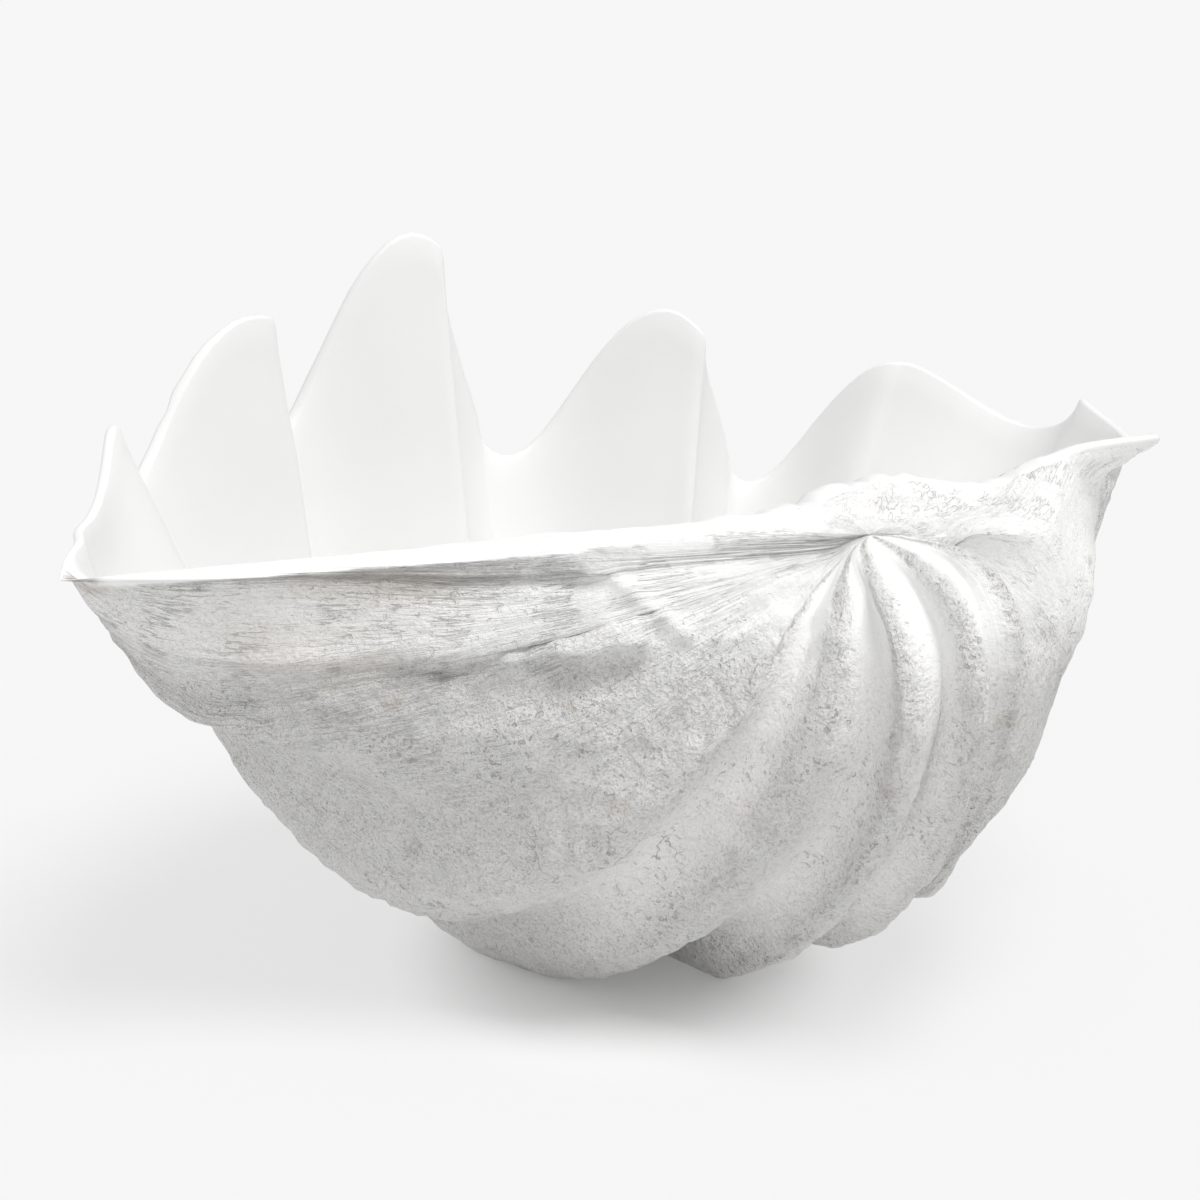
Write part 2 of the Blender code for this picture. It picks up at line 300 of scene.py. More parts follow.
# Patterns of the finish, in the part's frame or stretched along the growth lines. SET_IN gives
# the value where a pattern begins to show and the value where it shows in full.
Pattern = namedtuple("Pattern", "scale detail roughness distortion", defaults=(0.5, 0.0))
PATCH_PATTERN = Pattern(18.0, 3.0)
PORE_PATTERN = Pattern(520.0, 2.0, 0.6)
PORES_SET_IN = (0.42, 0.30)
LUMP_PATTERN = Pattern(85.0, 3.0, 0.55)
GRAIN_PATTERN = Pattern(300.0, 4.0, 0.65)
CHIP_PATTERN = Pattern(48.0, 3.0, 0.55, 0.3)
CHIP_STEPS = 6.0
PIT_PATTERN = Pattern(260.0, 2.0, 0.5, 0.2)
PITS_SET_IN = (0.63, 0.70)
PITTED_PATCHES_SET_IN = (0.46, 0.58)
STREAK_STRETCH = (230.0, 16.0, 1.0)
STREAK_PATTERN = Pattern(1.0, 4.0, 0.6, 0.3)
FIBRE_STRETCH = (900.0, 36.0, 1.0)
FIBRE_PATTERN = Pattern(1.0, 3.0, 0.6, 0.3)
STROKE_STRETCH = (300.0, 11.0, 1.0)
STROKE_PATTERN = Pattern(1.0, 3.0, 0.6, 0.2)
STROKES_SET_IN = (0.020, 0.004)
STROKE_BREAKS = Pattern(38.0, 2.0)
STROKE_BREAKS_SET_IN = (0.48, 0.58)
CRACK_PATTERN = Pattern(42.0, 3.0, 0.6)
CRACKS_SET_IN = (0.008, 0.0)
CRACK_BREAKS = Pattern(26.0, 1.0)
CRACK_BREAKS_SET_IN = (0.50, 0.56)
TINT_STRETCH = (60.0, 6.0, 1.0)
TINT_PATTERN = Pattern(1.0, 3.0)
TINT_SETS_IN = (0.30, 0.70)
WARM_PATTERN = Pattern(30.0, 4.0, 0.6)
WARM_SETS_IN = (0.60, 0.74)
INSIDE_PATTERN = Pattern(24.0, 2.0)
HOLLOWS_SET_IN = (0.44, 0.28)
RELIEF_SETS_IN = (-0.001, -0.004)

# How deep each pattern is in the bump, and how much grey it brings to the hollows: painted shade of
# the hollows, with a little dust.
BUMP_DISTANCE = 0.0030
CLEAN_SMOOTHS = 0.85
LEAST_WORN = 0.25
LUMP_BUMP, LUMP_GREY = 2.4, 0.10
GRAIN_BUMP, GRAIN_GREY = 2.1, 0.13
CHIP_BUMP = 0.6
PIT_BUMP, PIT_GREY = 1.1, 0.40
PORE_BUMP, PORE_GREY = 0.35, 0.12
STREAK_BUMP, BANDED_STREAK_BUMP, STREAK_GREY = 0.4, 0.7, 0.05
FIBRE_BUMP, BANDED_FIBRE_BUMP = 0.15, 0.8
STROKE_BUMP, STROKE_GREY = 0.5, 0.06
CRACK_BUMP = 0.5
INSIDE_BUMP = 0.15
RECESS_SHADE_GREY = 0.13
MOST_GREY = 0.85

# Colours of the shell, how much of each is laid on, and how rough it is inside and outside.
CHALK = (0.955, 0.947, 0.935, 1.0)
CLEAN_WHITE = (0.91, 0.91, 0.905, 1.0)
CLEAN_WHITENS = 0.9
# Grey laid into the hollows of the outside: painted shade, with a little dust.
HOLLOW_SHADE_AND_DUST = (0.56, 0.535, 0.50, 1.0)
BEIGE = (0.74, 0.68, 0.58, 1.0)
BEIGE_SHARE = 0.55
WARM_CRUST = (0.70, 0.62, 0.53, 1.0)
WARM_SHARE = 0.5
CRACK_BROWN = (0.42, 0.33, 0.22, 1.0)
CRACK_SHARE = 0.45
RING_BROWN = (0.60, 0.50, 0.40, 1.0)
RING_SHARE = 0.40
RUST = (0.62, 0.33, 0.05, 1.0)
RUST_SHARE = 0.9
INSIDE_WHITE = (0.885, 0.885, 0.88, 1.0)
INSIDE_ROUGHNESS = 0.42
OUTSIDE_ROUGHER = 0.33

# Stains and cracks on the outside, in the part's frame, and the distances over which they fade.
BEIGE_PLACE = (-0.150, -0.215, 0.275)
BEIGE_FADE = (0.17, 0.02)
RING_STAIN = (-0.290, -0.225, 0.288)
RING_OUTSIDE = (0.014, 0.009)
RING_INSIDE = (0.003, 0.006)
RUST_SPECK = (-0.180, -0.222, 0.290)
RUST_FADE = (0.0035, 0.0015)
CRACKS = (-0.010, -0.175, 0.128)
CRACKS_FADE = (0.060, 0.030)

# Studio and camera.
FLOOR_SIZE = 30.0
FLOOR_TONE = 0.90
FLOOR_LIGHT = 0.878
FLOOR_GLOW = 0.74
GLOW_CENTRE = (0.000, -0.005, 0.0)
GLOW_SHAPE = (1.0, 0.6, 1.0)
GLOW_FROM = 0.06
GLOW_TO = 0.15
GLOW_LEAST = 0.20
SURROUNDINGS = 0.575
LAMP_FROM = (0.28, -0.35, 1.0)
LAMP_BREADTH = 26.0
LAMP_STRENGTH = 2.12
SENSOR_WIDTH = 36.0
LENS = 109.56
VIEW_END = 60.0
CAMERA_ELEVATION = 15.0
CAMERA_DISTANCE = 2.2
CAMERA_AIM = np.array([0.0, 0.150, 0.232])

# Points of the form, and below them the marks that the finish reads at each outside point.
Skins = namedtuple("Skins", "outer crown inner outside relief crusted banded clean")
MARKS = ("outside", "relief", "crusted", "banded", "clean")


def ease(x):
    """Smooth step from 0 to 1."""
    x = np.clip(x, 0.0, 1.0)
    return x * x * (3.0 - 2.0 * x)


def within(x, stretch):
    """1 inside a stretch, 0 outside it, smooth over its soft ends."""
    return ease((x - stretch.start) / stretch.rise) * ease((stretch.end - x) / stretch.fall)


def hump(x, middle, reach):
    """1 at the middle, falling off smoothly on both sides."""
    return np.exp(-((x - middle) / reach) ** 2)


def mound(column, along, middle, reach):
    """1 at one place and share of the way, falling off smoothly all round."""
    return np.exp(-((column - middle[0]) / reach[0]) ** 2 - ((along - middle[1]) / reach[1]) ** 2)


def round_the_lip(place, values):
    """Monotone cubic through the guide lines' values, closed round the lip."""
    stations = np.array([line.place for line in LINES])
    values = np.array(values, float).reshape(len(LINES), -1)
    gap = np.diff(np.append(stations, stations[0] + LIP_TURN))[:, None]
    rise = (np.roll(values, -1, axis=0) - values) / gap
    gap_before = np.roll(gap, 1, axis=0)
    rise_before = np.roll(rise, 1, axis=0)
    same_way = rise * rise_before > 0.0
    near = 2.0 * gap + gap_before
    far = gap + 2.0 * gap_before
    blend = near / np.where(same_way, rise_before, 1.0) + far / np.where(same_way, rise, 1.0)
    slope = np.where(same_way, (near + far) / blend, 0.0)
    turned = np.mod(place, LIP_TURN)
    i = np.searchsorted(stations, turned, side="right") - 1
    j = (i + 1) % len(stations)
    u = ((turned - stations[i]) / gap[i, 0])[:, None]
    start = (1.0 + 2.0 * u) * (1.0 - u) ** 2 * values[i] + u * (1.0 - u) ** 2 * gap[i] * slope[i]
    end = u * u * (3.0 - 2.0 * u) * values[j] + u * u * (u - 1.0) * gap[i] * slope[j]
    return start + end


def guide(place, field):
    """One property of the guide lines at any place on the lip."""
    return round_the_lip(place, [getattr(line, field) for line in LINES])


def column_places(count):
    """Places on the lip, closer together where it is long or deeply folded."""
    place = np.linspace(0.0, LIP_TURN, SURVEY_STEPS + 1)
    lip = guide(place, "lip")
    middle = 0.5 * (place[1:] + place[:-1])
    folding = FOLDING_DENSITY * FOLD_HEIGHT * guide(middle, "fold")[:, 0] * np.diff(place)
    step = np.hypot(np.linalg.norm(np.diff(lip, axis=0), axis=1), folding) + LEAST_DENSITY
    step += CORNER_DENSITY * hump(middle, CORNER_PLACE, CORNER_WIDTH)
    for density, (first, last) in ((FLANK_DENSITY, FLANK_PLACES), (PLATE_DENSITY, PLATE_PLACES)):
        step += density * ((middle > first) & (middle < last))
    walked = np.concatenate([[0.0], np.cumsum(step)])
    return np.interp(np.linspace(0.0, walked[-1], count + 1)[:-1], walked, place)


def notch_depth(place):
    """Share of the line that is missing at a place, greatest in the middle of each notch."""
    depth = np.zeros(len(place))
    for middle, share in NOTCHES.items():
        to_left = (middle - place) / (middle - np.floor(middle))
        to_right = (place - middle) / (np.ceil(middle) - middle)
        off = np.clip(np.maximum(to_left, to_right), 0.0, 1.0)
        depth += share * (0.5 + 0.5 * np.cos(np.pi * off)) ** NOTCH_SHARPNESS
    return depth


def growth_lines(place, share):
    """Unfolded surface: each line as a curve from the umbo, cut off where its notch begins."""
    lip = guide(place, "lip")[:, None]
    umbo_handle = UMBO + guide(place, "umbo_pull")[:, None]
    lip_handle = lip + guide(place, "lip_pull")[:, None]
    t = np.linspace(0.0, 1.0, CURVE_STEPS + 1)[None, :, None]
    curve = (UMBO * (1 - t) ** 3 + 3 * umbo_handle * t * (1 - t) ** 2
             + 3 * lip_handle * t ** 2 * (1 - t) + lip * t ** 3)
    pieces = np.linalg.norm(np.diff(curve, axis=1), axis=2)
    length = np.concatenate([np.zeros((len(place), 1)), np.cumsum(pieces, axis=1)], axis=1)
    length /= length[:, -1:]
    along = share[None, :] * (1.0 - notch_depth(place))[:, None]
    points = np.empty((len(place), len(share), 3))
    for i in range(len(place)):
        for axis in range(3):
            points[i, :, axis] = np.interp(along[i], length[i], curve[i, :, axis])
    return points, along


def unit(vectors):
    """Vectors scaled to a length of one."""
    return vectors / np.maximum(np.linalg.norm(vectors, axis=-1, keepdims=True), 1e-9)


def outward_and_sideways(points):
    """Directions off the unfolded surface and round it, at each of its points."""
    across = np.roll(points, -1, axis=0) - np.roll(points, 1, axis=0)
    down = np.gradient(points, axis=1)
    outward = unit(np.cross(down, across))
    outward[:, 0] = unit(outward[:, 1].mean(axis=0))
    sideways = unit(across)
    sideways[:, 0] = 0.0
    return outward, sideways


def hinge_share(place):
    """1 on the hinge side, 0 round the lobes."""
    return within(np.where(place > HALF_TURN, place - LIP_TURN, place), HINGE_SIDE)


def wall_direction(points, place, along, outward):
    """Way through the wall: out from the hollow's middle line, but square to the lobes."""
    reach = (points[..., :1] - HOLLOW_LEFT[0]) / (HOLLOW_RIGHT[0] - HOLLOW_LEFT[0])
    middle = HOLLOW_LEFT + np.clip(reach, 0.0, 1.0) * (HOLLOW_RIGHT - HOLLOW_LEFT)
    from_middle = unit(points - middle)
    square = ease((along - SQUARE_FROM) / SQUARE_OVER) * (1.0 - hinge_share(place))[:, None]
    square = square[:, :, None]
    return unit(from_middle * (1.0 - square) + outward * square)


def fan_of_ribs(place, along):
    """Sideways shift that sets the ribs side by side just below the umbo."""
    swing = (1.0 - np.exp(-along / FAN_START)) * np.exp(-along / FAN_FADE)
    shift = RIB_FAN * guide(place, "fan") * swing
    return shift[:, :, None] * np.array([1.0, 0.0, 0.0])


def beak(place, along):
    """Shift that makes the pointed overhang at the right corner of the lip."""
    here = hump(place, BEAK_PLACE, BEAK_WIDTH)[:, None]
    end = ease((along - BEAK_FROM) / (1.0 - BEAK_FROM)) ** BEAK_SHARPNESS
    return (here * end)[:, :, None] * BEAK_REACH


def tuck(place, along):
    """Shift that draws the left edge of the first lobe back into line."""
    here = hump(place, TUCK_PLACE, TUCK_WIDTH)[:, None]
    return (here * ease((along - TUCK_FROM) / TUCK_OVER))[:, :, None] * TUCK


def skin(place, steps, inside):
    """Outer or inner skin as a grid of points, columns by steps, with how far along each is."""
    share = np.linspace(0.0, 1.0, steps + 1)
    points, along = growth_lines(place, share)
    outward, sideways = outward_and_sideways(points)
    folded = ((place > FOLDS_FROM) & (place < FOLDS_TO))[:, None]
    wave = np.where(folded, np.cos(2.0 * np.pi * place)[:, None], 0.0)
    height = FOLD_HEIGHT * (FOLD_AT_UMBO + (1.0 - FOLD_AT_UMBO) * along) * guide(place, "fold")
    lean = FOLD_LEAN * wave * guide(place, "lean") * ease((along - LEAN_FROM) / LEAN_OVER)
    points = points + lean[:, :, None] * sideways + beak(place, along)
    if not inside:
        lift = -wave * height * ease(along / FOLD_START)
        return points + fan_of_ribs(place, along) + lift[:, :, None] * outward, along
    wall = guide(place, "wall")
    thickness = wall + (UMBO_THICKNESS - wall) * (1.0 - ease(along / THINNING_OVER))
    near_lip = ease((along - LIP_THINNING_FROM) / (1.0 - LIP_THINNING_FROM))
    thickness *= 1.0 - LIP_THINNING * near_lip * (1.0 - hinge_share(place))[:, None]
    depth = thickness + wave * height * ease((along - INNER_FOLD_FROM) / INNER_FOLD_OVER)
    direction = wall_direction(points, place, along, outward)
    return points - depth[:, :, None] * direction, along


def rough(points, lumps):
    """Smooth noise at each point of a grid, up and down by the height of its lumps."""
    offset = Vector([step * lumps.seed for step in SEED_STEP])
    flat = points.reshape(-1, 3) / lumps.size
    values = [noise.noise(Vector(point) + offset) for point in flat]
    return lumps.height * np.array(values).reshape(points.shape[:-1])


def over_line(points, line):
    """Height above a line drawn in X and Z on the hinge side, and 1 between its ends."""
    x = np.array([corner[0] for corner in line])
    z = np.array([corner[1] for corner in line])
    order = np.argsort(x)
    height = points[..., 2] - np.interp(points[..., 0], x[order], z[order])
    between_ends = within(points[..., 0], Stretch(x.min(), x.max(), *LINE_ENDS))
    return height, between_ends * ease((NEAR_SIDE - points[..., 1]) / NEAR_SIDE)


def over_shelf(points):
    """Height above the shelf's line, and 1 along it, fading out towards the left corner."""
    height, there = over_line(points, SHELF)
    return height, there * ease((points[..., 0] - SHELF_LEFT) / SHELF_LEFT_OVER)


def below_rim(points):
    """0 on the smooth white border along the lip, 1 on the rest of the outside."""
    share = np.linspace(0.0, 1.0, points.shape[1])[None, :]
    height, there = over_line(points, RIM)
    soft_edge = RIM_BORDER_EDGE * RIM_BORDER
    border = ease((height + (1.0 + RIM_BORDER_EDGE) * RIM_BORDER) / soft_edge) * there
    return ease((1.0 - share) / LIP_BORDER) * (1.0 - border)


def hinge_marks(place, along):
    """Recess, ledge and end knob of the hinge plate, as relief."""
    column = place[:, None]
    across = ((column - RECESS[0]) / RECESS_REACH[0]) ** 2
    recess = np.exp(-across ** 2 - np.abs((along - RECESS[1]) / RECESS_REACH[1]) ** 3)
    ledge = within(column, HINGE_PLATE) * hump(along, LEDGE, LEDGE_REACH)
    knob = mound(column, along, KNOB, KNOB_REACH)
    return LEDGE_HEIGHT * ledge + KNOB_HEIGHT * knob - RECESS_DEPTH * recess


def crusted_share(place, along):
    """1 where the outside is scaly and chipped, near 0 in the smooth grooves below the umbo."""
    column = place[:, None]
    crest = 0.5 - 0.5 * np.cos(2.0 * np.pi * column)
    lower = ease((along - LOW_CRUST[0]) / LOW_CRUST[1])
    ribs = within(column, RIB_CRUST) * np.maximum(crest ** 2, lower)
    flank = FLANK_CRUST_SHARE * within(column, FLANK_CRUST)
    least = LEAST_CRUST * ease(along / LEAST_CRUST_OVER)
    return np.clip(np.maximum(ribs, flank) + least, 0.0, 1.0)


def banded_share(place, along):
    """1 where long strands run along the growth lines: the hinge side and the right scoop."""
    column = place[:, None] + 0.0 * along
    left = ease((STRANDS_LEFT[0] - column) / STRANDS_LEFT[1]) * (column < HALF_TURN)
    right = ease((column - STRANDS_RIGHT[0]) / STRANDS_RIGHT[1])
    return np.maximum(np.maximum(hinge_share(place)[:, None], left), right)


def clean_share(points, place, crusted):
    """1 where the outside is clean and white: near the umbo, on the right scoop, over the shelf."""
    across = ease((points[..., 0] - CLEAN_FROM[0]) / CLEAN_OVER[0])
    share = across * ease((points[..., 2] - CLEAN_FROM[1]) / CLEAN_OVER[1])
    ribs = ease((place - CRUST_DULLS_FROM) / CRUST_DULLS_OVER)[:, None]
    share = share * (1.0 - CRUST_DULLS * crusted * ribs)
    height, there = over_shelf(points)
    return np.maximum(share, CLEAN_STRIP_SHARE * (within(height, CLEAN_STRIP) * there))


def blended(points, place):
    """Outer skin with its lines blended near the umbo and along the seam below the rim."""
    distance = np.linalg.norm(points - points[:1, :1], axis=-1)
    spread = within(place, SEAM_OPENING)[:, None] * within(distance, SEAM_RUN)
    points = points + spread[:, :, None] * SEAM_SPREAD
    soft = points
    for step in BLEND_STEPS:
        soft = 0.25 * np.roll(soft, step, axis=0) + 0.5 * soft + 0.25 * np.roll(soft, -step, axis=0)
    boss = ease((BOSS_REACH - distance) / (BOSS_SOFTNESS * BOSS_REACH))
    seam = hump(place, SEAM_PLACE, SEAM_WIDTH)[:, None]
    seam = seam * ease((SEAM_RUN.end - distance) / SEAM_RUN.fall)
    off_lip = ease((1.0 - np.linspace(0.0, 1.0, points.shape[1])[None, :]) / BLEND_OFF_LIP)
    share = (np.maximum(boss, seam) * off_lip)[:, :, None]
    return points * (1.0 - share) + soft * share


def worn_relief(points, place, along, crusted, banded):
    """Lumps, grain, crumbs, strands and scales of the outside, and the flakes of its right edge."""
    column = place[:, None] + 0.0 * along
    hinge = hinge_share(place)[:, None]
    grainy = 1.0 - GRAIN_LOST_AT_HINGE * hinge
    relief = rough(points, LUMPS) * (1.0 - LUMPS_LOST_AT_HINGE * hinge)
    relief += rough(points, GRAIN) * (LEAST_GRAIN + (1.0 - LEAST_GRAIN) * crusted) * grainy
    relief += rough(points, CRUMBS) * crusted * grainy
    strands = 0.0
    for side_by_side, end_to_end, lumps in STRANDS:
        flow = np.stack([column * side_by_side, along * end_to_end, 0.0 * along], axis=-1)
        strands = strands + rough(flow, lumps)
    relief += STRAND_HEIGHT * strands * (LEAST_STRANDS + (1.0 - LEAST_STRANDS) * banded)
    teeth = np.mod(along * SCALE_COUNT + rough(points, OUT_OF_STEP), 1.0)
    patches = ease((rough(points, PATCHES) - PATCHES_FROM) / PATCHES_OVER)
    relief += SCALE_HEIGHT * (teeth - 0.5) * patches * crusted * (1.0 - banded)
    flaked = hump(column, FLAKES_PLACE, FLAKES_WIDTH) * ease((along - FLAKES_FROM) / FLAKES_OVER)
    return relief + rough(points, FLAKES) * flaked


def hinge_side_relief(points):
    """Shelf, edge of the sheet, flap and scars on the hinge side."""
    height, there = over_shelf(points)
    for lumps in SHELF_LUMPS:
        height = height + rough(points, lumps)
    above = 0.5 + 0.5 * np.tanh(height / SHELF_EDGE)
    top = above * np.exp(-np.maximum(height, 0.0) / (SHELF_TOP * SHELF_WIDTH))
    relief = SHELF_HEIGHT * (top - GROOVE * hump(height, -SHELF_WIDTH, SHELF_WIDTH)) * there
    height, there = over_line(points, SHEET_EDGE)
    height = height + rough(points, SHEET_LUMPS)
    ribbon = hump(height, SHEET_WIDTH, SHEET_WIDTH)
    under = hump(height, SHEET_GROOVE[0] * SHEET_WIDTH, SHEET_GROOVE[1] * SHEET_WIDTH)
    relief += SHEET_HEIGHT * (ribbon - GROOVE * under) * there
    height, there = over_line(points, FLAP_EDGE)
    relief += FLAP_HEIGHT * hump(height, 0.0, FLAP_WIDTH) * there
    off = np.hypot(points[..., 0] - SCARS_AT[0], points[..., 2] - SCARS_AT[1])
    scarred = hump(off, 0.0, SCARS_REACH) * (points[..., 1] < SCARS_BACK_TO)
    return relief + rough(points, SCARS) * scarred


def weathering(points, place, along, crusted, banded):
    """How far the weathered outside stands off its plain form."""
    relief = worn_relief(points, place, along, crusted, banded) + hinge_side_relief(points)
    for swelling in SWELLINGS:
        middle = (swelling.place, swelling.share)
        reach = (swelling.place_reach, swelling.share_reach)
        relief += swelling.height * mound(place[:, None], along, middle, reach)
    return relief * within(along, WEATHERED) + hinge_marks(place, along)


def lip_crown(outer, inner):
    """Rounded crown that joins the ends of both skins."""
    half_wall = 0.5 * (outer[:, -1] - inner[:, -1])
    middle = 0.5 * (outer[:, -1] + inner[:, -1])
    reach = 2.0 * LIP_ROUNDING * np.linalg.norm(half_wall, axis=1, keepdims=True)
    tipward = reach * unit(outer[:, -1] - outer[:, -1 - STEPS_TO_CROWN])
    angles = np.linspace(0.0, np.pi, CROWN_STEPS + 2)[1:-1]
    return np.stack([middle + half_wall * np.cos(a) + tipward * np.sin(a) for a in angles], axis=1)


def settling(outer, inner):
    """Shift that sets the form where its solid is: middle of the box, lowest folds in the floor."""
    points = np.concatenate([outer, lip_crown(outer, inner), inner], axis=1).reshape(-1, 3)
    low = points.min(axis=0)
    high = points.max(axis=0)
    shift = 0.5 * (np.array(cad_low) + np.array(cad_high)) - 0.5 * (low + high)
    shift[2] = cad_low.z - low[2] - FOOT_DEPTH
    return shift


def shell_skins():
    """Both skins with their relief, the crown between them, and the shift to where the solid is."""
    place = column_places(COLUMNS)
    outer, along = skin(place, OUTER_STEPS, inside=False)
    inner, inner_along = skin(place, INNER_STEPS, inside=True)
    shift = settling(outer, inner)
    outer = blended(outer + tuck(place, along), place)
    inner = inner + tuck(place, inner_along)
    crusted = crusted_share(place, along)
    banded = banded_share(place, along)
    relief = weathering(outer, place, along, crusted, banded)
    outer += relief[:, :, None] * outward_and_sideways(outer)[0]
    ripple = rough(inner, RIPPLES) * ease((1.0 - inner_along) / RIPPLES_OFF_LIP)
    inner += ripple[:, :, None] * outward_and_sideways(inner)[0]
    clean = clean_share(outer, place, crusted)
    crown = lip_crown(outer, inner)
    return Skins(outer, crown, inner, below_rim(outer), relief, crusted, banded, clean), shift


def shell_mesh():
    """Closed mesh down the outer skin, over the lip and back along the inner skin."""
    skins, shift = shell_skins()
    grid = np.concatenate([skins.outer, skins.crown, skins.inner[:, ::-1]], axis=1)
    grid = grid + shift
    grid[..., 2] = np.maximum(grid[..., 2], cad_low.z)
    columns, rows = grid.shape[0], grid.shape[1] - 1
    shell = bmesh.new()
    shell.loops.layers.uv.new("growth")
    layers = {name: shell.verts.layers.float.new(name) for name in MARKS}
    bmesh.ops.create_grid(shell, x_segments=columns, y_segments=rows, size=1.0, calc_uvs=True)
    for vertex in shell.verts:
        column = round((1.0 - vertex.co.x) / 2.0 * columns) % columns
        row = round((vertex.co.y + 1.0) / 2.0 * rows)
        vertex.co = grid[column, row]
        if row <= OUTER_STEPS:
            for name, layer in layers.items():
                vertex[layer] = float(getattr(skins, name)[column, row])
    bmesh.ops.remove_doubles(shell, verts=shell.verts, dist=WELD_DISTANCE)
    mesh = bpy.data.meshes.new("clam_shell_fine")
    shell.to_mesh(mesh)
    shell.free()
    mesh.shade_smooth()
    return mesh, shift


class Paint:
    """A socket of a material's nodes, written in expressions as a number would be."""

    def __init__(self, tree, socket=None):
        self.tree = tree
        self.socket = socket

    def node(self, kind, settings=None, sockets=None, output=0):
        """Any node: its settings first, then the values or links of its sockets."""
        made = self.tree.nodes.new(kind)
        for name, value in (settings or {}).items():
            setattr(made, name, value)
        for name, value in (sockets or {}).items():
            if isinstance(value, Paint):
                self.tree.links.new(value.socket, made.inputs[name])
            else:
                made.inputs[name].default_value = value
        return Paint(self.tree, made.outputs[output])

    def math(self, operation, *others):
        """Result of one operation on this socket and others."""
        sockets = dict(enumerate((self, *others)))
        return self.node("ShaderNodeMath", {"operation": operation}, sockets)

    def __add__(self, other):
        return self.math("ADD", other)

    def __sub__(self, other):
        return self.math("SUBTRACT", other)

    def __rsub__(self, other):
        return self.node("ShaderNodeMath", {"operation": "SUBTRACT"}, {0: other, 1: self})

    def __mul__(self, other):
        return self.math("MULTIPLY", other)

    __radd__ = __add__
    __rmul__ = __mul__

    def rise(self, low, high):
        """0 below low, 1 above high, smooth between; falls where low is above high."""
        limits = {"Value": self, "From Min": low, "From Max": high}
        return self.node("ShaderNodeMapRange", {"interpolation_type": "SMOOTHSTEP"}, limits)

    def thin_lines(self, limits):
        """Thin lines where a noise crosses its middle value."""
        return (self - 0.5).math("ABSOLUTE").rise(*limits)

    def stretched(self, scale):
        """Coordinates scaled about the origin."""
        return self.node("ShaderNodeMapping", None, {"Vector": self, "Scale": scale})

    def noise(self, pattern):
        """Noise of one pattern at these coordinates."""
        sockets = {"Vector": self, "Scale": pattern.scale, "Detail": pattern.detail,
                   "Roughness": pattern.roughness, "Distortion": pattern.distortion}
        return self.node("ShaderNodeTexNoise", None, sockets)

    def distance_to(self, point):
        """Distance from these coordinates to a point."""
        sockets = {0: self, 1: point}
        return self.node("ShaderNodeVectorMath", {"operation": "DISTANCE"}, sockets, "Value")

    def to(self, colour, share):
        """This colour mixed with another by a share; 6, 7 and 2 are the node's colour sockets."""
        sockets = {"Factor": share, 6: self, 7: colour}
        return self.node("ShaderNodeMix", {"data_type": "RGBA"}, sockets, 2)


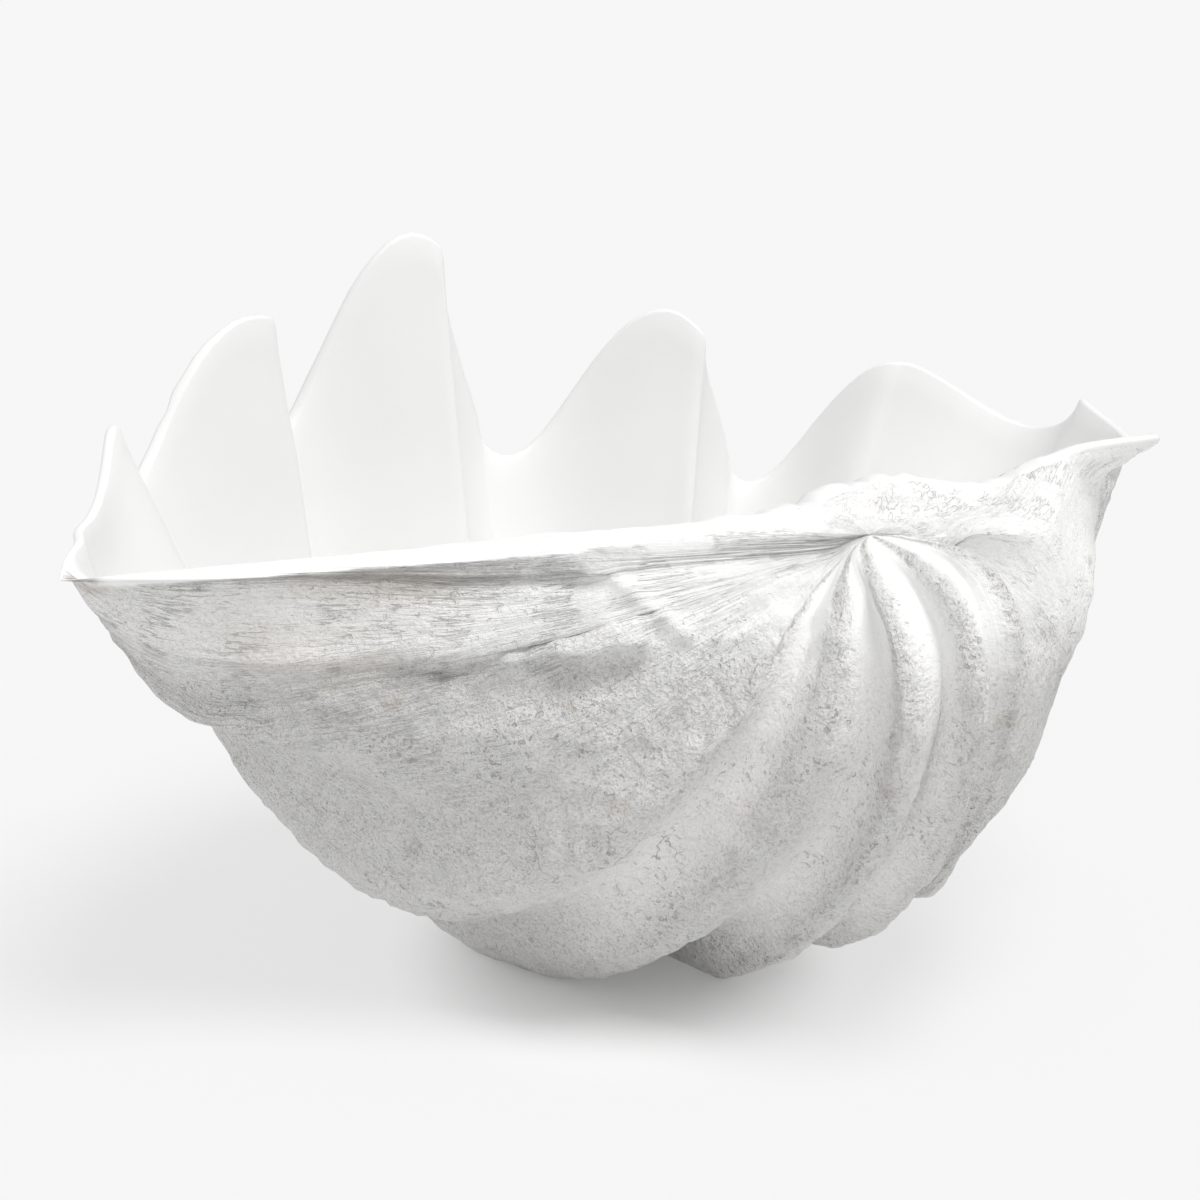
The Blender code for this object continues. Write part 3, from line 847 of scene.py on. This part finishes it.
def weathered_shell():
    """Chalky, chipped and streaked outside that turns into a smooth satin inside."""
    material = bpy.data.materials.new("weathered_shell")
    material.use_nodes = True
    shader = material.node_tree.nodes["Principled BSDF"]
    paint = Paint(material.node_tree)
    at = paint.node("ShaderNodeTexCoord", output="Object")
    growth = paint.node("ShaderNodeUVMap", {"uv_map": "growth"})
    outside, relief, crusted, banded, clean = (
        paint.node("ShaderNodeAttribute", {"attribute_name": name}, output="Fac")
        for name in MARKS)
    inside = 1.0 - outside

    pores = at.noise(PORE_PATTERN).rise(*PORES_SET_IN)
    lumps = at.noise(LUMP_PATTERN)
    grain = at.noise(GRAIN_PATTERN)
    chips = (at.noise(CHIP_PATTERN) * CHIP_STEPS).math("FRACT")
    streaks = growth.stretched(STREAK_STRETCH).noise(STREAK_PATTERN)
    fibres = growth.stretched(FIBRE_STRETCH).noise(FIBRE_PATTERN)
    strokes = growth.stretched(STROKE_STRETCH).noise(STROKE_PATTERN).thin_lines(STROKES_SET_IN)
    strokes = strokes * at.noise(STROKE_BREAKS).rise(*STROKE_BREAKS_SET_IN) * banded
    pitted = at.noise(PATCH_PATTERN).rise(*PITTED_PATCHES_SET_IN)
    pits = at.noise(PIT_PATTERN).rise(*PITS_SET_IN) * pitted
    cracks = at.noise(CRACK_PATTERN).thin_lines(CRACKS_SET_IN)
    cracks = cracks * at.distance_to(CRACKS).rise(*CRACKS_FADE)
    cracks = cracks * at.noise(CRACK_BREAKS).rise(*CRACK_BREAKS_SET_IN)

    dull = 1.0 - clean * CLEAN_SMOOTHS
    worn = (LEAST_WORN + (1.0 - LEAST_WORN) * crusted) * dull
    height = (lumps - 0.5) * LUMP_BUMP * worn + (grain - 0.5) * GRAIN_BUMP * worn
    height = height + (chips - 0.5) * CHIP_BUMP * crusted * dull
    height = height - pits * PIT_BUMP * worn - pores * PORE_BUMP * worn
    height = height + (streaks - 0.5) * (STREAK_BUMP + BANDED_STREAK_BUMP * banded) * dull
    height = height + (fibres - 0.5) * (FIBRE_BUMP + BANDED_FIBRE_BUMP * banded) * dull
    height = height - strokes * STROKE_BUMP * dull - cracks * CRACK_BUMP
    height = height * outside + at.noise(INSIDE_PATTERN) * INSIDE_BUMP * inside
    sockets = {"Height": height, "Distance": BUMP_DISTANCE, "Strength": 1.0}
    bump = paint.node("ShaderNodeBump", None, sockets)

    # Grey in the low parts of the lumps, grain and relief, in the pits and pores and along the
    # streaks and strokes: painted shade of the hollows, with a little dust.
    hollow_shade_and_dust = lumps.rise(*HOLLOWS_SET_IN) * LUMP_GREY + grain.rise(*HOLLOWS_SET_IN) * GRAIN_GREY
    hollow_shade_and_dust = hollow_shade_and_dust + relief.rise(*RELIEF_SETS_IN) * RECESS_SHADE_GREY
    hollow_shade_and_dust = hollow_shade_and_dust * worn + pits * PIT_GREY * worn + pores * PORE_GREY * worn
    streaked = streaks.rise(*HOLLOWS_SET_IN) * banded * STREAK_GREY
    hollow_shade_and_dust = hollow_shade_and_dust + (streaked + strokes * STROKE_GREY) * dull
    tint = growth.stretched(TINT_STRETCH).noise(TINT_PATTERN)
    tint = (tint * at.distance_to(BEIGE_PLACE).rise(*BEIGE_FADE)).rise(*TINT_SETS_IN)
    warm = at.noise(WARM_PATTERN).rise(*WARM_SETS_IN) * crusted
    from_ring = at.distance_to(RING_STAIN)
    ring = from_ring.rise(*RING_OUTSIDE) * from_ring.rise(*RING_INSIDE)
    rust = at.distance_to(RUST_SPECK).rise(*RUST_FADE)
    colour = paint.node("ShaderNodeRGB")
    colour.socket.default_value = CHALK
    colour = colour.to(CLEAN_WHITE, clean * CLEAN_WHITENS)
    colour = colour.to(HOLLOW_SHADE_AND_DUST, hollow_shade_and_dust.math("MINIMUM", MOST_GREY))
    colour = colour.to(BEIGE, tint * BEIGE_SHARE)
    colour = colour.to(WARM_CRUST, warm * WARM_SHARE)
    colour = colour.to(CRACK_BROWN, cracks * CRACK_SHARE)
    colour = colour.to(RING_BROWN, ring * RING_SHARE)
    colour = colour.to(RUST, rust * RUST_SHARE)
    colour = colour.to(INSIDE_WHITE, inside)

    links = material.node_tree.links
    links.new(colour.socket, shader.inputs["Base Color"])
    links.new((INSIDE_ROUGHNESS + OUTSIDE_ROUGHER * outside).socket, shader.inputs["Roughness"])
    links.new(bump.socket, shader.inputs["Normal"])
    return material


def shell_piece():
    """The valve in its fine form, standing for its plain solid."""
    mesh, shift = shell_mesh()
    mesh.materials.append(weathered_shell())
    shell = bpy.data.objects.new("shell_valve", mesh)
    bpy.context.scene.collection.objects.link(shell)
    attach(shell, "root")
    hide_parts("clam_shell")
    return shift


def pale_floor():
    """Plain pale floor whose own faint light keeps the shadow close to the shell's foot."""
    material = bpy.data.materials.new("pale_floor")
    material.use_nodes = True
    shader = material.node_tree.nodes["Principled BSDF"]
    paint = Paint(material.node_tree)
    at = paint.node("ShaderNodeTexCoord", output="Object")
    away = at.stretched(GLOW_SHAPE).distance_to(GLOW_CENTRE).rise(GLOW_FROM, GLOW_TO)
    glow = (GLOW_LEAST + (1.0 - GLOW_LEAST) * away) * FLOOR_GLOW
    links = material.node_tree.links
    links.new(((1.0 - glow) * FLOOR_TONE).socket, shader.inputs["Base Color"])
    links.new((glow * FLOOR_LIGHT).socket, shader.inputs["Emission Color"])
    shader.inputs["Emission Strength"].default_value = 1.0
    shader.inputs["Roughness"].default_value = 1.0
    shader.inputs["Specular IOR Level"].default_value = 0.0
    return material


def floor():
    """Floor that runs out of view."""
    made = bmesh.new()
    bmesh.ops.create_grid(made, x_segments=1, y_segments=1, size=FLOOR_SIZE)
    mesh = bpy.data.meshes.new("floor")
    made.to_mesh(mesh)
    made.free()
    mesh.materials.append(pale_floor())
    plane = bpy.data.objects.new("floor", mesh)
    bpy.context.scene.collection.objects.link(plane)


def overhead_lamp():
    """Broad soft light from above, a little from the front and the right."""
    lamp = bpy.data.lights.new("overhead_lamp", "SUN")
    lamp.angle = math.radians(LAMP_BREADTH)
    lamp.energy = LAMP_STRENGTH
    holder = bpy.data.objects.new("overhead_lamp", lamp)
    holder.rotation_euler = Vector(LAMP_FROM).to_track_quat("Z", "Y").to_euler()
    bpy.context.scene.collection.objects.link(holder)


def studio(shift):
    """Floor, even white surroundings, one large lamp overhead and the camera."""
    floor()
    world = bpy.data.worlds.new("white_surroundings")
    world.use_nodes = True
    background = world.node_tree.nodes["Background"]
    background.inputs["Color"].default_value = (1.0, 1.0, 1.0, 1.0)
    background.inputs["Strength"].default_value = SURROUNDINGS
    scene = bpy.context.scene
    scene.world = world
    scene.view_settings.view_transform = "Standard"
    overhead_lamp()
    camera = bpy.data.cameras.new("camera")
    camera.sensor_width = SENSOR_WIDTH
    camera.lens = LENS
    camera.clip_end = VIEW_END
    holder = bpy.data.objects.new("camera", camera)
    tilt = math.radians(CAMERA_ELEVATION)
    back = np.array([0.0, -math.cos(tilt), math.sin(tilt)])
    holder.location = CAMERA_AIM + shift + CAMERA_DISTANCE * back
    holder.rotation_euler = (math.radians(90.0) - tilt, 0.0, 0.0)
    scene.collection.objects.link(holder)
    scene.camera = holder


studio(shell_piece())
